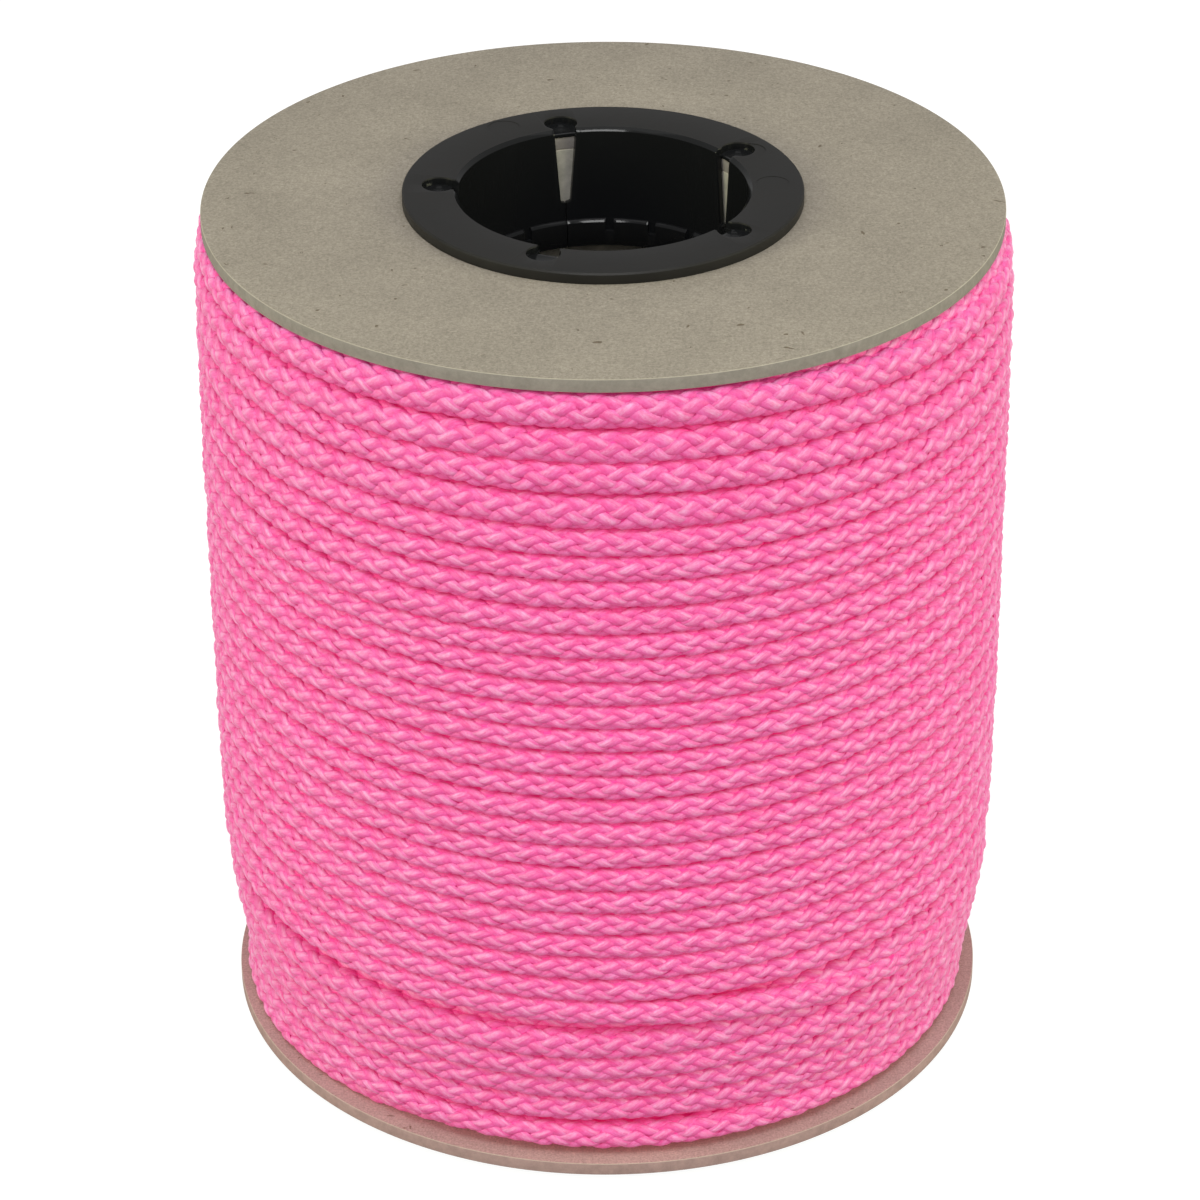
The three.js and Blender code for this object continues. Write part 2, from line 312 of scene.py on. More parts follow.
def braid_material():
    """The cord's yarns: fine filaments along each stitch, with a painted highlight on the upper flank of each
    crown and painted shade towards the stitches' ends and on the cord's underside.
    """
    m = Nodes("cord")
    lie = m.add("Attribute", attribute_type="GEOMETRY", attribute_name="lie")
    split = m.add("SeparateXYZ")
    m.link(lie.outputs["Vector"], split.inputs[0])
    along, across, pick = split.outputs["X"], split.outputs["Y"], split.outputs["Z"]
    stretched = m.add("CombineXYZ")
    # The last factor is large, so that each stitch reads its own part of the noise.
    for value, factor, socket in zip((along, across, pick), (0.4, 1.9, 61.0), stretched.inputs):
        m.link(m.math("MULTIPLY", value, factor), socket)
    filament = m.noise(stretched.outputs[0], 1.6, 4, 0.7)
    # The painted light stored on the stitches: its pale top stop is a painted highlight, its deep pink low stop
    # painted shade.
    crown = m.add("Attribute", attribute_type="GEOMETRY", attribute_name="painted_light").outputs["Fac"]
    base = m.ramp(crown, [
        (0.05, (0.92, 0.080, 0.385)),
        (0.40, (0.91, 0.136, 0.445)),
        (0.74, (0.91, 0.172, 0.48)),
        (0.96, (0.95, 0.30, 0.60)),
    ])
    streak = m.ramp(filament, [(0.35, (0.92, 0.64, 0.79)), (0.65, (1.0, 1.36, 1.20))])
    base = m.mix(1.0, base, streak, "MULTIPLY")
    fuzz = m.noise(m.place(), 1900, 3, 0.7)
    mottle = m.ramp(fuzz, [(0.3, (0.95, 0.80, 0.88)), (0.7, (1.0, 1.20, 1.12))])
    base = m.mix(1.0, base, mottle, "MULTIPLY")
    tint = m.ramp(pick, [(0.0, (0.98, 0.86, 0.92)), (1.0, (1.0, 1.14, 1.08))])
    m.link(m.mix(1.0, base, tint, "MULTIPLY"), m.shader.inputs["Base Color"])
    m.set(m.shader, Roughness=0.42)
    m.shader.inputs["Specular IOR Level"].default_value = 0.45
    # Painted glow: a slight emission that brightens the yarns.
    painted_glow(m)
    m.shader.inputs["Sheen Weight"].default_value = 0.2
    m.shader.inputs["Sheen Roughness"].default_value = 0.4
    m.shader.inputs["Sheen Tint"].default_value = (1.0, 0.55, 0.78, 1)
    m.link(m.bump(filament, 0.8, 0.00016), m.shader.inputs["Normal"])
    return m.material


def inner_cord_material():
    """The cord's shaded inner turns and the heart of the braid."""
    m = Nodes("cord_shade")
    mottled = m.noise(m.place(), 900, 3, 0.6)
    m.link(m.ramp(mottled, [(0.3, (0.93, 0.05, 0.36)), (0.7, (0.94, 0.09, 0.43))]),
           m.shader.inputs["Base Color"])
    m.set(m.shader, Roughness=0.7)
    # Painted glow: a slight emission that brightens the inner turns and the heart.
    painted_glow(m)
    m.link(m.bump(mottled, 0.5, 0.0002), m.shader.inputs["Normal"])
    return m.material


board = greyboard("greyboard", (0.355, 0.315, 0.265), (0.30, 0.275, 0.265))
# The lower disc's upper face and edge are tinted pink: painted reflected light from the pink winding.
lower_board_painted_pink = greyboard("greyboard_lower_painted_pink", (0.355, 0.315, 0.265), (0.46, 0.31, 0.32), (0.50, 0.345, 0.335))
core_board = greyboard("core_board", (0.47, 0.46, 0.42), (0.46, 0.44, 0.39))
plastic = black_plastic()
yarn = braid_material()
shade = inner_cord_material()


# Discs and tube

DISC_EASE = 0.16
TUBE_EASE = 0.2
EASE_POINTS = 5


def eased_ring(inner, outer, bottom, top, ease):
    """The outline of a flat ring with rounded edges, anticlockwise."""
    outline = []
    for radius, height, start in (
        (outer - ease, bottom + ease, -90), (outer - ease, top - ease, 0),
        (inner + ease, top - ease, 90), (inner + ease, bottom + ease, 180),
    ):
        for step in range(EASE_POINTS):
            angle = math.radians(start + step * 90 / (EASE_POINTS - 1))
            outline.append((radius + ease * math.cos(angle), height + ease * math.sin(angle)))
    return outline


def make_disc(name, bottom, material):
    outline = eased_ring(TUBE_BORE_RADIUS, DISC_RADIUS, bottom, bottom + DISC_THICKNESS, DISC_EASE)
    disc = revolved(name, outline, 288, material)
    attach(disc, "root")
    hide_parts(name)
    sharpen(disc, 30)


def make_core_tube():
    outline = eased_ring(TUBE_BORE_RADIUS, TUBE_RADIUS, LOWER_DISC_TOP, UPPER_DISC_BOTTOM, TUBE_EASE)
    tube = revolved("core_tube_board", outline, 192, core_board)
    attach(tube, "root")
    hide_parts("core_tube")
    sharpen(tube, 30)


make_disc("lower_disc", FLANGE_THICKNESS, lower_board_painted_pink)
make_disc("upper_disc", UPPER_DISC_BOTTOM, board)
make_core_tube()


# Hubs

HUB_SLOTS = 5
NOTCH_PLACES = 20       # round the collar, with a slot in place of every fourth notch
NOTCH_HALF_WIDTH = 0.7
NOTCH_DEPTH = 2.2
MARK_RADIUS = 2.75


def hub_outline():
    """The hub's outline in (radius, depth from the outer face), with its mouth, rim, end and collar eased."""
    return [
        (SLEEVE_BORE_RADIUS + 0.62, 0),
        (FLANGE_RADIUS - 0.25, 0),
        (FLANGE_RADIUS, 0.3),
        (FLANGE_RADIUS, FLANGE_THICKNESS),
        (SLEEVE_RADIUS, FLANGE_THICKNESS),
        (SLEEVE_RADIUS, SLEEVE_DEPTH - 0.6),
        (SLEEVE_RADIUS - 0.6, SLEEVE_DEPTH),
        (COLLAR_BORE_RADIUS, SLEEVE_DEPTH),
        (COLLAR_BORE_RADIUS, COLLAR_DEPTH + 0.45),
        (COLLAR_BORE_RADIUS + 0.42, COLLAR_DEPTH),
        (SLEEVE_BORE_RADIUS, COLLAR_DEPTH),
        (SLEEVE_BORE_RADIUS, 0.65),
        (SLEEVE_BORE_RADIUS + 0.12, 0.5),
    ]


def box_between(low, high):
    """A box mesh's points and faces."""
    points = [(x, y, z) for x in (low[0], high[0]) for y in (low[1], high[1]) for z in (low[2], high[2])]
    faces = [(0, 1, 3, 2), (4, 6, 7, 5), (0, 4, 5, 1), (2, 3, 7, 6), (0, 2, 6, 4), (1, 5, 7, 3)]
    return points, faces


def prism(outline, low, high):
    """A prism along X over an outline of (y, z), anticlockwise seen from +X."""
    count = len(outline)
    points = [(low, y, z) for y, z in outline] + [(high, y, z) for y, z in outline]
    sides = [(i, (i + 1) % count, count + (i + 1) % count, count + i) for i in range(count)]
    return points, sides, [tuple(range(count))[::-1], tuple(range(count, 2 * count))]


def cutter_object(name, parts):
    """One hidden object from several closed bodies given as (points, faces)."""
    points, faces = [], []
    for part_points, part_faces in parts:
        start = len(points)
        points += [Vector(p) * MM for p in part_points]
        faces += [tuple(start + corner for corner in face) for face in part_faces]
    mesh = bpy.data.meshes.new(name)
    mesh.from_pydata(points, [], faces)
    mesh.update()
    made = bpy.data.objects.new(name, mesh)
    bpy.context.scene.collection.objects.link(made)
    return made


def turned(points, angle):
    """Points turned about Z."""
    rotation = Matrix.Rotation(angle, 3, "Z")
    return [tuple(rotation @ Vector(p)) for p in points]


def cylinder_part(radius, low, high, centre, segments=48):
    """A closed upright cylinder's points and faces."""
    angles = [2 * math.pi * i / segments for i in range(segments)]
    ring = [(centre[0] + radius * math.cos(a), centre[1] + radius * math.sin(a)) for a in angles]
    points = [(x, y, low) for x, y in ring] + [(x, y, high) for x, y in ring]
    faces = [(i, (i + 1) % segments, segments + (i + 1) % segments, segments + i) for i in range(segments)]
    faces += [tuple(range(segments))[::-1], tuple(range(segments, 2 * segments))]
    return points, faces


def hub_cutters():
    """What is cut from a hub whose face is at height 0 and whose sleeve points down: the keyholes, their
    throats, and the slots with their slits and the collar's notches. Each reaches a little past the hub."""
    keyholes, throats, slots = [], [], []
    half_top = SLOT_WIDTH / 2 + 0.08
    slot_outline = [
        (-half_top, 0.5), (-SLOT_END_WIDTH / 2, -SLOT_DEPTH), (-SLIT_WIDTH / 2, -SLOT_DEPTH - 0.25),
        (-SLIT_WIDTH / 2, -SLEEVE_DEPTH - 1), (SLIT_WIDTH / 2, -SLEEVE_DEPTH - 1),
        (SLIT_WIDTH / 2, -SLOT_DEPTH - 0.25), (SLOT_END_WIDTH / 2, -SLOT_DEPTH), (half_top, 0.5),
    ]
    for index in range(HUB_SLOTS):
        angle = index * 2 * math.pi / HUB_SLOTS
        points, faces = cylinder_part(KEYHOLE_RADIUS, -KEYHOLE_DEPTH, 1.0, (KEYHOLE_CIRCLE_RADIUS, 0))
        keyholes.append((turned(points, angle), faces))
        points, faces = box_between((22.0, -SLOT_WIDTH / 2, -KEYHOLE_DEPTH + 0.01),
                                    (KEYHOLE_CIRCLE_RADIUS, SLOT_WIDTH / 2, 1.1))
        throats.append((turned(points, angle), faces))
        points, sides, ends = prism(slot_outline, 21.5, SLEEVE_RADIUS + 0.15)
        slots.append((turned(points, angle), sides + ends))
    for index in range(NOTCH_PLACES):
        if index % (NOTCH_PLACES // HUB_SLOTS):
            points, faces = box_between(
                (21.7, -NOTCH_HALF_WIDTH, -COLLAR_DEPTH - NOTCH_DEPTH),
                (SLEEVE_BORE_RADIUS - 0.05, NOTCH_HALF_WIDTH, -COLLAR_DEPTH + 0.2),
            )
            slots.append((turned(points, index * 2 * math.pi / NOTCH_PLACES), faces))
    return keyholes, throats, slots


def ejector_marks():
    """Shallow rings that the mould's pins leave on the flange."""
    marks = []
    for radius, degrees, depth in ((29.7, 19.2, 0.05), (28.1, 256.9, 0.05), (28.6, 285.2, 0.09)):
        centre = (radius * math.cos(math.radians(degrees)), radius * math.sin(math.radians(degrees)))
        marks.append(cylinder_part(MARK_RADIUS, -depth, 1.0, centre))
    return marks


def cut_away(made, parts):
    """Takes closed bodies off a mesh."""
    cutter = cutter_object("cutter", parts)
    cut = made.modifiers.new("cut", "BOOLEAN")
    cut.operation = "DIFFERENCE"
    cut.solver = "EXACT"
    cut.object = cutter
    apply_modifiers(made)
    bpy.data.objects.remove(cutter)


def make_hub(name, face_height, upward, turn):
    """A hub whose sleeve points down from its face, or up where upward."""
    outline = [(radius, -depth) for radius, depth in hub_outline()][::-1]
    hub = revolved(name + "_plastic", outline, 240, plastic)
    for parts in hub_cutters():
        cut_away(hub, parts)
    bevel = hub.modifiers.new("bevel", "BEVEL")
    bevel.width = 0.1 * MM
    bevel.segments = 2
    bevel.limit_method = "ANGLE"
    bevel.angle_limit = math.radians(40)
    apply_modifiers(hub)
    for mark in ejector_marks():
        cut_away(hub, [mark])
    move = Matrix.Translation((0, 0, face_height * MM)) @ Matrix.Rotation(turn, 4, "Z")
    if upward:
        move = move @ Matrix.Rotation(math.pi, 4, "X")
    hub.data.transform(move)
    hub.data.update()
    sharpen(hub, 35)
    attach(hub, "root")
    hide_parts(name)


make_hub("lower_hub", 0, True, math.radians(84.8))
make_hub("upper_hub", SPOOL_HEIGHT, False, math.radians(104.8))


# Winding

CREST = 2.27            # from the cord's centre line to a stitch's crown
HEART = 1.75            # radius of the tube under the stitches
PACKED_HEART = 1.95     # half its height where the turns are packed
SQUARENESS = 2.35       # of the cord's section, where 2 is round
HEART_SQUARENESS = 2.6
STITCH_PERIOD = 4.95    # along the cord, within one row
ROW_ANGLE = math.radians(33)
STEPS = 240             # path points in a turn
FRONT = math.radians(-91)   # where the turns count from
STRETCH_TURNS = 4       # turns of stitches in one piece
LOW_FULLNESS = 1.05     # of the short strands near the lower disc
LOW_PACKING = 0.25

# The winding's outer radius at heights above the floor.
PROFILE_HEIGHT = (4, 14, 17, 21, 26, 34, 47, 62, 127, 141, 149)
PROFILE_RADIUS = (65.2, 65.2, 65.5, 66.4, 67.3, 68.0, 68.3, 68.4, 68.4, 68.2, 67.9)
LEAN = 0.1              # of the winding towards +X

# The heights between which the turns wave, the height where they become loose, and how slowly that sets in.
WAVY_FROM, WAVY_TO, LOOSE_FROM, FADE = 7, 147.5, 122, 6


def smoothed(values, reach):
    """A list evened out by a bell-shaped window of this half width."""
    window = np.exp(-0.5 * (np.arange(-2 * reach, 2 * reach + 1) / (0.6 * reach)) ** 2)
    window /= window.sum()
    padded = np.concatenate([
        2 * values[0] - values[2 * reach:0:-1], values, 2 * values[-1] - values[-2:-2 * reach - 2:-1],
    ])
    return np.convolve(padded, window, "valid")


def slow_noise(count, reach, amount):
    """Smooth random values for a run of path points."""
    knots = rng.normal(size=count // reach + 4)
    at = np.arange(count) / reach
    low = at.astype(int)
    part = at - low
    part = part * part * (3 - 2 * part)
    return amount * (knots[low] * (1 - part) + knots[low + 1] * part)


def strand_path(turns, heights, sinks, wobble=0.08):
    """A strand's centre line, and the turns at its points. Turns count from the front, heights are its
    centre's at those turns, sinks are how far it lies inside the winding's outer face, and wobble is how far
    its height strays. All strands share a slow wave, which fades out at the discs and in the loose turns."""
    count = int(round((turns[-1] - turns[0]) * STEPS)) + 1
    turn = np.linspace(turns[0], turns[-1], count)
    height = smoothed(np.interp(turn, turns, heights), STEPS // 14)
    angle = FRONT + turn * 2 * math.pi
    shared = 0.32 * np.sin(angle + 0.6) + 0.18 * np.sin(2 * angle + 2.1)
    fade = np.clip((height - WAVY_FROM) / FADE, 0, 1) * np.clip((WAVY_TO - height) / FADE, 0, 1)
    height = height + shared * fade * np.clip((LOOSE_FROM - height) / FADE, 0, 1)
    height = height + slow_noise(count, STEPS // 5, wobble) * fade
    sink_turns, sink_depths = zip(*sinks)
    sink = smoothed(np.interp(turn, sink_turns, sink_depths), STEPS // 20)
    radius = np.interp(height, PROFILE_HEIGHT, PROFILE_RADIUS) - CREST - sink
    radius = smoothed(radius, STEPS // 20) + slow_noise(count, STEPS // 8, 0.07) + LEAN * np.cos(angle)
    return np.stack([radius * np.cos(angle), radius * np.sin(angle), height], axis=-1), turn


def frames_along(path):
    """Lengths along a path, with its outward and upward directions."""
    tangent = np.gradient(path, axis=0)
    tangent /= np.linalg.norm(tangent, axis=1, keepdims=True)
    outward = path * (1, 1, 0)
    outward /= np.linalg.norm(outward, axis=1, keepdims=True)
    upward = np.cross(outward, tangent)
    upward /= np.linalg.norm(upward, axis=1, keepdims=True)
    outward = np.cross(tangent, upward)
    steps = np.linalg.norm(np.diff(path, axis=0), axis=1)
    length = np.concatenate([[0], np.cumsum(steps)])
    return length, outward, upward


def at_length(length, values, where):
    """Values along a path, read at other lengths."""
    return np.stack([np.interp(where, length, values[:, axis]) for axis in range(values.shape[1])], axis=-1)


# A stitch's points, along and across it, and how far its place and its shape stray.
ALONG = np.array([-1.6, -1.15, -0.6, 0.0, 0.6, 1.15, 1.6])
ACROSS = np.array([-0.92, -0.76, -0.44, 0.0, 0.44, 0.76, 0.92])
PLACE_STRAY, ANGLE_STRAY = 0.13, 0.035
LONG_STRAY, WIDE_STRAY, PLUMP_STRAY = 0.06, 0.08, 0.12


def make_stitches(name, path, frames, stretch, rows, drift, fullness):
    """The braid's stitches on one stretch of cord. Even rows slant one way and odd rows the other. Fullness
    is how much taller than round the cord stands there."""
    length, outward, upward = frames
    places, angles, slants = [], [], []
    for row in rows:
        first = STITCH_PERIOD * (0.5 if row % 2 else 0.0)
        spots = np.arange(first, length[-1], STITCH_PERIOD)
        spots = spots[(spots >= stretch[0]) & (spots < stretch[1])]
        places.append(spots)
        angles.append(np.full(len(spots), (row - 0.5) * ROW_ANGLE))
        slants.append(np.full(len(spots), 1.0 if row % 2 else -1.0))
    place = np.concatenate(places)
    angle = np.concatenate(angles)
    slant = np.concatenate(slants)
    count = len(place)
    place = place + rng.normal(0, PLACE_STRAY, count)
    angle = angle + np.interp(place, length, drift) + rng.normal(0, ANGLE_STRAY, count)
    pick = rng.random(count)
    long = rng.normal(1.0, LONG_STRAY, count)
    wide = rng.normal(1.0, WIDE_STRAY, count)
    plump = rng.normal(1.0, PLUMP_STRAY, count)

    a, b = np.meshgrid(ALONG, ACROSS, indexing="ij")
    a, b = a.ravel(), b.ravel()
    # A stitch is lowest at its ends, where it goes under others, and at its edges.
    arch = 1 - 0.34 * np.abs(a) ** 2.7
    ridge = np.cos(b / ACROSS[-1] * math.pi / 2) ** 0.8
    swell = arch - 0.75 * (1 - ridge)
    lift = (CREST - HEART) * swell
    step, rise = STITCH_PERIOD / 4, ROW_ANGLE / 2
    along = place[:, None] + step * (long[:, None] * a + wide[:, None] * b)
    around = angle[:, None] + slant[:, None] * rise * (1.18 * long[:, None] * a - wide[:, None] * b)
    out = HEART + lift * plump[:, None]

    centre = at_length(length, path, along.ravel()).reshape(*along.shape, 3)
    normal = at_length(length, outward, along.ravel()).reshape(*along.shape, 3)
    up = at_length(length, upward, along.ravel()).reshape(*along.shape, 3)
    tall = np.interp(along, length, fullness)
    sideways, upwards = np.cos(around), np.sin(around)
    out = out / (np.abs(sideways) ** SQUARENESS + np.abs(upwards) ** SQUARENESS) ** (1 / SQUARENESS)
    points = centre + (out * sideways)[..., None] * normal + (out * tall * upwards)[..., None] * up
    patch = grid_faces(len(ALONG), len(ACROSS))
    offsets = np.arange(count)[:, None, None] * len(a)
    faces = patch[None] + offsets
    flip = slant > 0
    faces[flip] = faces[flip][:, :, ::-1]
    made = new_object(name, points.reshape(-1, 3), faces.reshape(-1, 4), yarn)
    lie = np.stack([
        np.broadcast_to(a * 1.36, along.shape), np.broadcast_to(b, along.shape),
        np.broadcast_to(pick[:, None], along.shape),
    ], axis=-1)
    stored = made.data.attributes.new("lie", "FLOAT_VECTOR", "POINT")
    stored.data.foreach_set("vector", lie.astype(np.float32).ravel())
    # Painted light: paler along the upper flank of each stitch, as lit from above (painted highlight), and darker
    # towards the stitch's ends and on the cord's underside (painted shade).
    stored = made.data.attributes.new("painted_light", "FLOAT", "POINT")
    above = np.cos(np.clip(b * -slant[:, None] - 0.3, -0.8, 0.8) * 1.9) ** 1.4
    painted_light = (0.2 + 0.8 * above) * np.clip(1.25 - 0.3 * a ** 2, 0, 1)
    painted_light = painted_light * np.clip(0.55 + 0.55 * sideways + 0.4 * upwards, 0, 1)
    stored.data.foreach_set("value", painted_light.ravel().astype(np.float32))
    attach(made, "root")
    return made


def make_heart(name, path, fullness, packed, sides=16, every=6):
    """The closed tube under a strand's stitches. Packed turns flatten it until it meets its neighbours."""
    _, outward, upward = frames_along(path)
    chosen = np.unique(np.append(np.arange(0, len(path), every), len(path) - 1))
    around = np.arange(sides) * 2 * math.pi / sides
    sideways, upwards = np.cos(around)[None], np.sin(around)[None]
    square = HEART_SQUARENESS
    round_out = (np.abs(sideways) ** square + np.abs(upwards) ** square) ** (1 / square)
    wide = HEART / round_out * sideways
    tall = HEART * fullness[chosen, None]
    tall = (tall + (PACKED_HEART - tall) * packed[chosen, None]) / round_out * upwards
    points = path[chosen][:, None] + wide[..., None] * outward[chosen][:, None]
    points = points + tall[..., None] * upward[chosen][:, None]
    count = len(chosen)
    ring = np.arange(sides)
    faces = list(grid_faces(count, sides, False, True)) + [ring[::-1], (count - 1) * sides + ring]
    made = new_object(name, points.reshape(-1, 3), faces, shade)
    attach(made, "root")


# The outer layer's turns, by the heights of the seams between them. The cord comes up under the upper disc
# at the right, seven turns are loose, and the rest are packed down to turn 24.
SEAMS = [
    (-0.97, 150.4), (-0.90, 149.5), (-0.84, 148.2), (-0.30, 147.2), (-0.22, 146.2),
    (-0.15, 144.3), (0.0, 144.1), (0.1, 143.9), (0.16, 141.9), (0.78, 140.4),
    (0.85, 138.5), (1.0, 138.5), (1.1, 137.8), (1.16, 136.9),
    (1.85, 133.6), (2.0, 133.1), (2.1, 131.7), (2.16, 131.0),
    (2.85, 128.2), (3.0, 126.6), (3.1, 126.5), (3.16, 125.5),
    (3.85, 122.8), (4.0, 122.0), (4.1, 121.5), (4.16, 121.0),
    (4.85, 118.4), (5.0, 118.2), (5.1, 117.1), (5.16, 116.3),
    (5.85, 113.6), (6.0, 113.2), (6.1, 113.0), (6.16, 112.2),
    (6.85, 108.7), (7.0, 108.5), (7.85, 104.6), (8.0, 104.2), (24.0, 33.9),
]
FIRST_TURN, LAST_TURN = -0.97, 24
TOP_CENTRE = 148.1      # the highest that the cord's centre lies under the upper disc
PACKED_PITCH, TAIL_PITCH = 4.35, 4.55


def seam(turn):
    """The height of a turn's lower seam."""
    return np.interp(turn, *zip(*SEAMS))


# Each strand by its heights and its sinks, as pairs with the turn. The outer one comes up under the upper disc.
HEAD_SINKS = [(FIRST_TURN, 4.2), (-0.9, 1.9), (-0.82, 1.2), (-0.3, 0.9), (-0.19, 0.0)]

# Its last turn drops over the strand that rises from beneath it, and goes in at the back.
TAIL_HEIGHTS = [
    (0.0, 36.3), (0.045, 36.2), (0.067, 34.6), (0.09, 31.2), (0.11, 30.2), (0.15, 30.2),
    (0.22, 30.5), (0.3, 31.2), (0.4, 32.4), (0.5, 33.0), (0.65, 33.0), (0.8, 33.4),
]
TAIL_SINKS = [(0.0, 0.0), (0.03, -0.3), (0.06, -0.7), (0.1, -0.5), (0.14, 0.0), (0.6, 0.0), (0.75, 4.4)]

# The layer beneath is wound the other way: it rises to the right, and dips once a turn at the front left.
DIP = [(-0.14, 1.15), (-0.08, 0.3), (-0.02, 0.0), (0.06, 0.8), (0.14, 2.7), (0.5, 4.3)]
DIP_HEIGHT = 13.8       # the lowest that its first full turn comes
RISE_PITCH = 4.87
UNDER_START = [(0.0, 12.1), (0.14, 11.9), (0.3, 12.1), (0.5, 13.4)]
UNDER_END = [
    (3.86, 29.5), (3.92, 28.7), (3.98, 28.4), (4.03, 28.8), (4.06, 29.4), (4.1, 29.8), (4.16, 30.0),
]
UNDER_SINKS = [
    (0.0, 4.4), (0.03, 2.6), (0.06, 1.0), (0.1, 0.2), (0.2, 0.4), (0.4, 0.0),
    (3.98, 0.2), (4.05, 0.3), (4.09, 0.6), (4.12, 1.6), (4.16, 4.4),
]

# Where that strand comes out again above the last outer turn.
RISEN_HEIGHTS = [(4.04, 33.5), (4.075, 34.3), (4.1, 34.6), (4.14, 34.7), (4.3, 35.2), (4.56, 35.8)]
RISEN_SINKS = [
    (4.04, 4.4), (4.062, 2.2), (4.08, 0.5), (4.12, 0.1), (4.22, 0.3), (4.3, 0.9), (4.4, 2.1),
    (4.5, 3.2), (4.56, 4.4),
]

# The lowest turn, on the lower disc.
FOOT_HEIGHTS = [
    (-0.62, 9.7), (-0.5, 10.0), (-0.3, 10.2), (-0.14, 10.2), (-0.11, 9.7), (-0.08, 8.8), (-0.05, 7.8),
    (0.0, 8.0), (0.06, 8.4), (0.14, 7.5), (0.3, 7.1), (0.86, 6.4), (1.0, 6.3),
]
FOOT_SINKS = [
    (-0.62, 4.4), (-0.5, 2.4), (-0.4, 1.2), (-0.3, 0.4), (-0.22, 0.0), (0.06, 0.0), (0.15, 0.8),
    (0.3, 0.8), (0.45, 0.0), (0.86, 0.0), (0.9, 1.0), (0.97, 4.4),
]


def after_last(pairs):
    """Pairs whose turns count from the last one."""
    return [(LAST_TURN + turn, value) for turn, value in pairs]


outer_turns = np.arange(FIRST_TURN, LAST_TURN, 0.01)
outer_heights = np.minimum((seam(outer_turns - 1) + seam(outer_turns)) / 2, TOP_CENTRE)
outer_path, outer_turn = strand_path(
    *zip(*zip(outer_turns, outer_heights), *after_last(TAIL_HEIGHTS)), HEAD_SINKS + after_last(TAIL_SINKS))

# Where the turns are loose the cord stands fuller, and where they are packed it is pressed flat between them.
apart = np.where(outer_turn < LAST_TURN, seam(outer_turn - 1) - seam(outer_turn), TAIL_PITCH)
share = smoothed(apart / PACKED_PITCH, STEPS // 16)
outer_fullness = np.clip(share, 1.02, 1.3)
outer_packed = np.clip((1.1 - share) / 0.06, 0, 1)

rise = [(turn + part, DIP_HEIGHT + RISE_PITCH * (turn - 1) + height) for turn in (1, 2, 3) for part, height in DIP]
under_path, under_turn = strand_path(*zip(*UNDER_START, *rise, *UNDER_END), UNDER_SINKS)
under_fullness = np.interp(under_turn, (3.2, 3.6), (1.12, 1.2))  # its last turn is the fullest
under_packed = np.full(len(under_path), LOW_PACKING)
risen_path, _ = strand_path(*zip(*RISEN_HEIGHTS), RISEN_SINKS)
foot_path, _ = strand_path(*zip(*FOOT_HEIGHTS), FOOT_SINKS)


# The rows of stitches that are made: nearly all of them, or those that show on a buried strand.
ALL_ROWS = range(-3, 5)
BURIED_ROWS = range(-1, 4)


def braid(label, path, fullness, packed, rows):
    """A strand as its stitches, in stretches of a few turns, and the tube under them. The first stretch is
    handed back."""
    drift = slow_noise(len(path), STEPS // 3, 0.14)
    frames = frames_along(path)
    ends = np.append(frames[0][::STRETCH_TURNS * STEPS], frames[0][-1])
    stitches = [
        make_stitches(f"{label}_{number + 1}", path, frames, stretch, rows, drift, fullness)
        for number, stretch in enumerate(zip(ends, ends[1:]))
    ]
    make_heart(label + "_heart", path, fullness, packed)
    return stitches[0]


def plain_braid(label, path, fullness, packed, rows):
    """A strand of one section from end to end."""
    count = len(path)
    braid(label, path, np.full(count, fullness), np.full(count, packed), rows)


outer_piece = braid("cord_outer", outer_path, outer_fullness, outer_packed, ALL_ROWS)
under_piece = braid("cord_under", under_path, under_fullness, under_packed, ALL_ROWS)
plain_braid("cord_risen", risen_path, LOW_FULLNESS, LOW_PACKING, ALL_ROWS)
plain_braid("cord_foot", foot_path, LOW_FULLNESS, LOW_PACKING, ALL_ROWS)
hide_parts("cord_outer_layer")
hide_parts("cord_under_layer")

# The turns beneath, where they show between the loose turns and in the step near the bottom.
BURIED_FULLNESS, BURIED_PACKING = 1.1, 0.5
NESTED_TURNS, NESTED_DEPTH = 6, 2.8
nested_path = outer_path[:NESTED_TURNS * STEPS].copy()
nested_path[:, 2] = (nested_path[:, 2] + outer_path[STEPS:(NESTED_TURNS + 1) * STEPS, 2]) / 2
nested_path[:, :2] *= 1 - NESTED_DEPTH / np.linalg.norm(nested_path[:, :2], axis=1, keepdims=True)
step_path, _ = strand_path([0.5, 0.84, 1.08], [33.6, 32.5, 31.8], [(0.5, 3.2), (1.08, 3.2)], 0.1)
plain_braid("cord_nested", nested_path, BURIED_FULLNESS, BURIED_PACKING, BURIED_ROWS)
plain_braid("cord_step", step_path, BURIED_FULLNESS, BURIED_PACKING, BURIED_ROWS)


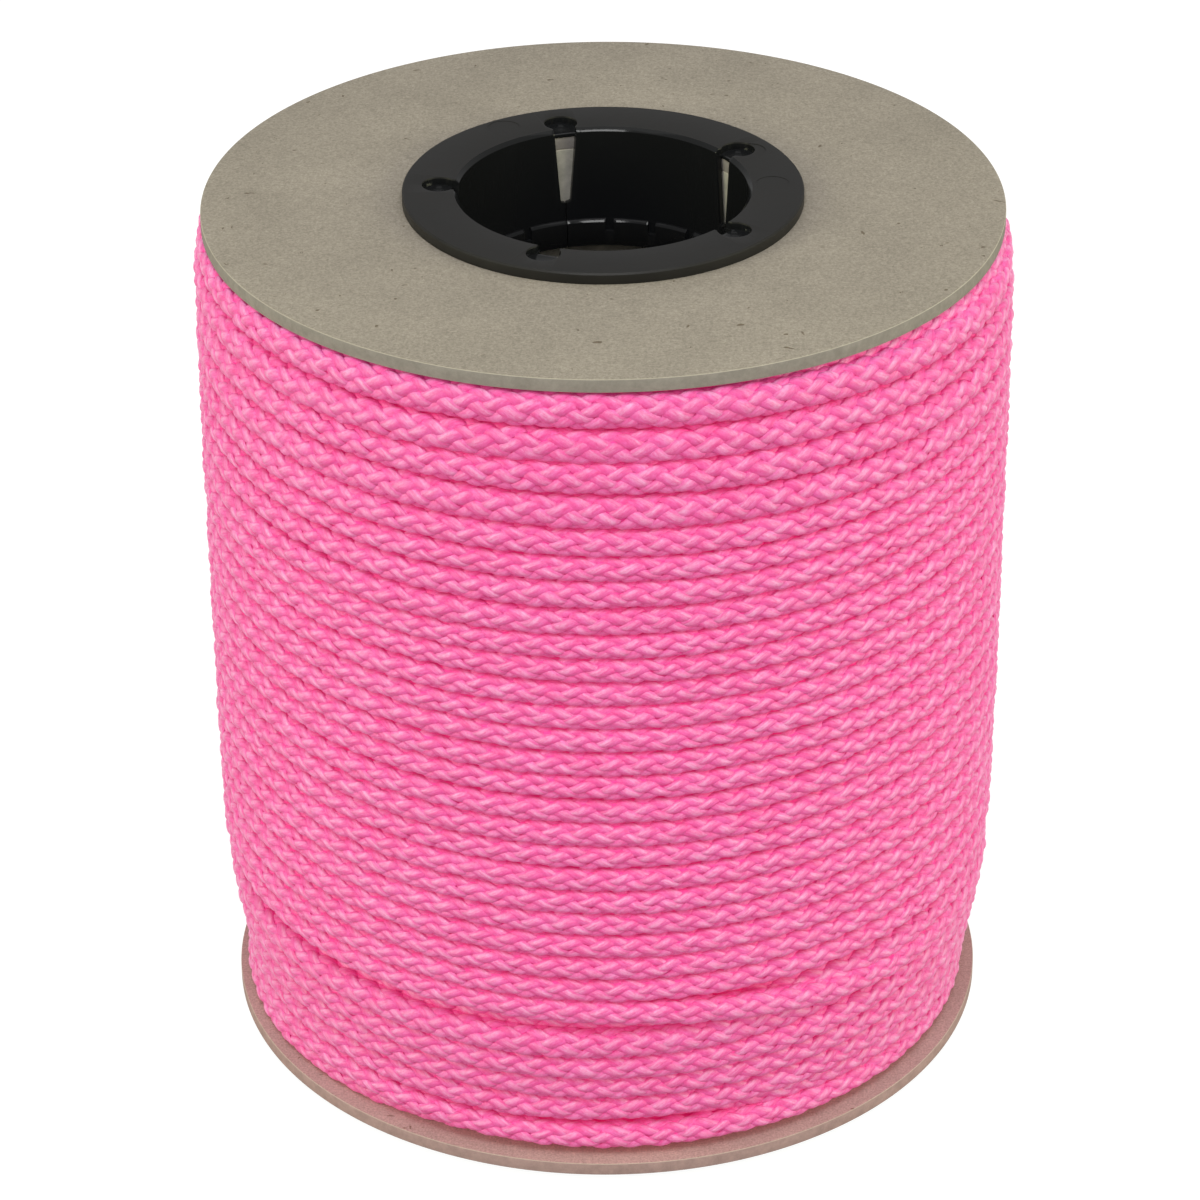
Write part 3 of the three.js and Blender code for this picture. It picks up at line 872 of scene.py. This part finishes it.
def make_inner_layers():
    """The turns beneath those that show: a body with a shallow helical groove."""
    per_turn, pitch = 8, 4.4
    segments = 180
    depth, groove = 5.6, 1.5
    inside = TUBE_RADIUS + WINDING_CLEARANCE
    low, high = LOWER_DISC_TOP + WINDING_CLEARANCE, UPPER_DISC_BOTTOM - WINDING_CLEARANCE
    levels = int((high - low) / pitch * per_turn)
    height = np.linspace(low, high, levels)
    angle = np.arange(segments) * 2 * math.pi / segments
    grid_angle, grid_height = np.meshgrid(angle, height, indexing="ij")
    phase = (grid_height / pitch + grid_angle / (2 * math.pi)) % 1
    bulge = np.sqrt(np.clip(1 - (2 * phase - 1) ** 2, 0, 1))
    radius = np.interp(grid_height, PROFILE_HEIGHT, PROFILE_RADIUS) - depth + groove * bulge
    inner_face = np.full((segments, 1), inside)
    radius = np.concatenate([inner_face, radius, inner_face], axis=1)
    heights = np.concatenate([[low], height, [high]])
    points = np.stack([
        radius * np.cos(angle)[:, None], radius * np.sin(angle)[:, None],
        np.broadcast_to(heights, radius.shape),
    ], axis=-1).reshape(-1, 3)
    faces = grid_faces(segments, levels + 2, True, True)[:, ::-1]
    made = new_object("cord_inner", points, faces, shade)
    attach(made, "root")
    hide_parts("cord_package")


make_inner_layers()


# Floor, lights and camera

def make_floor():
    """A floor that looks pale to the camera and in reflections, and sends little light back up."""
    reach = 4000
    m = Nodes("floor")
    m.set(m.shader, Base_Color=(0.15, 0.15, 0.15, 1), Roughness=0.9)
    path = m.add("LightPath")
    seen = m.math("MAXIMUM", path.outputs["Is Camera Ray"], path.outputs["Is Glossy Ray"])
    m.shader.inputs["Emission Color"].default_value = (1, 1, 1, 1)
    m.link(m.math("MULTIPLY", seen, 0.95), m.shader.inputs["Emission Strength"])
    corners = [(-reach, -reach, 0), (reach, -reach, 0), (reach, reach, 0), (-reach, reach, 0)]
    floor = new_object("floor", corners, [(0, 1, 2, 3)], m.material, smooth=False)


def make_lamp(name, place, size, watts, colour=WHITE):
    """A soft lamp aimed at the middle of the spool."""
    aim = (0, 0, 0.08)
    data = bpy.data.lights.new(name, "AREA")
    data.shape = "RECTANGLE"
    data.size, data.size_y = size
    data.energy = watts
    data.color = colour
    lamp = bpy.data.objects.new(name, data)
    bpy.context.scene.collection.objects.link(lamp)
    lamp.location = place
    lamp.rotation_euler = (Vector(aim) - Vector(place)).to_track_quat("-Z", "Y").to_euler()


def make_world():
    """A world that looks white and lights the spool dimly."""
    seen, lit = 1.0, 0.36
    world = bpy.data.worlds.new("studio")
    bpy.context.scene.world = world
    world.use_nodes = True
    tree = world.node_tree
    back = tree.nodes["Background"]
    back.inputs["Color"].default_value = (1, 1, 1, 1)
    path = tree.nodes.new("ShaderNodeLightPath")
    level = tree.nodes.new("ShaderNodeMath")
    level.operation = "MULTIPLY_ADD"
    tree.links.new(path.outputs["Is Camera Ray"], level.inputs[0])
    level.inputs[1].default_value = seen - lit
    level.inputs[2].default_value = lit
    tree.links.new(level.outputs[0], back.inputs["Strength"])


def make_camera():
    """The camera that was fitted to the photograph, with its angles in radians."""
    pitch, yaw, roll = 0.5207, 0.007, -0.0059
    forward = Vector((math.sin(yaw) * math.cos(pitch), math.cos(yaw) * math.cos(pitch), -math.sin(pitch)))
    right = Vector((math.cos(yaw), -math.sin(yaw), 0))
    up = right.cross(forward)
    turned_right = math.cos(roll) * right + math.sin(roll) * up
    turned_up = -math.sin(roll) * right + math.cos(roll) * up
    data = bpy.data.cameras.new("camera")
    data.sensor_fit = "HORIZONTAL"
    data.sensor_width = 36
    data.lens = 132.06
    data.clip_start, data.clip_end = 0.01, 50
    camera = bpy.data.objects.new("camera", data)
    bpy.context.scene.collection.objects.link(camera)
    axes = Matrix((turned_right, turned_up, -forward)).transposed()
    camera.matrix_world = Matrix.Translation((-0.00556, -0.66492, 0.45741)) @ axes.to_4x4()
    bpy.context.scene.camera = camera


make_floor()
make_world()
make_lamp("overhead", (0.0, 0.15, 1.1), (1.2, 1.2), 2.0)
make_lamp("front", (0.0, -0.75, 1.25), (0.6, 0.4), 5.8)
SIDE_COLOUR = (1.0, 1.0, 0.66)
make_lamp("left", (-1.05, -0.5, 0.34), (0.8, 0.8), 9, SIDE_COLOUR)
make_lamp("right", (1.05, -0.45, 0.32), (0.8, 0.8), 9, SIDE_COLOUR)
make_camera()
bpy.context.scene.view_settings.view_transform = "Standard"
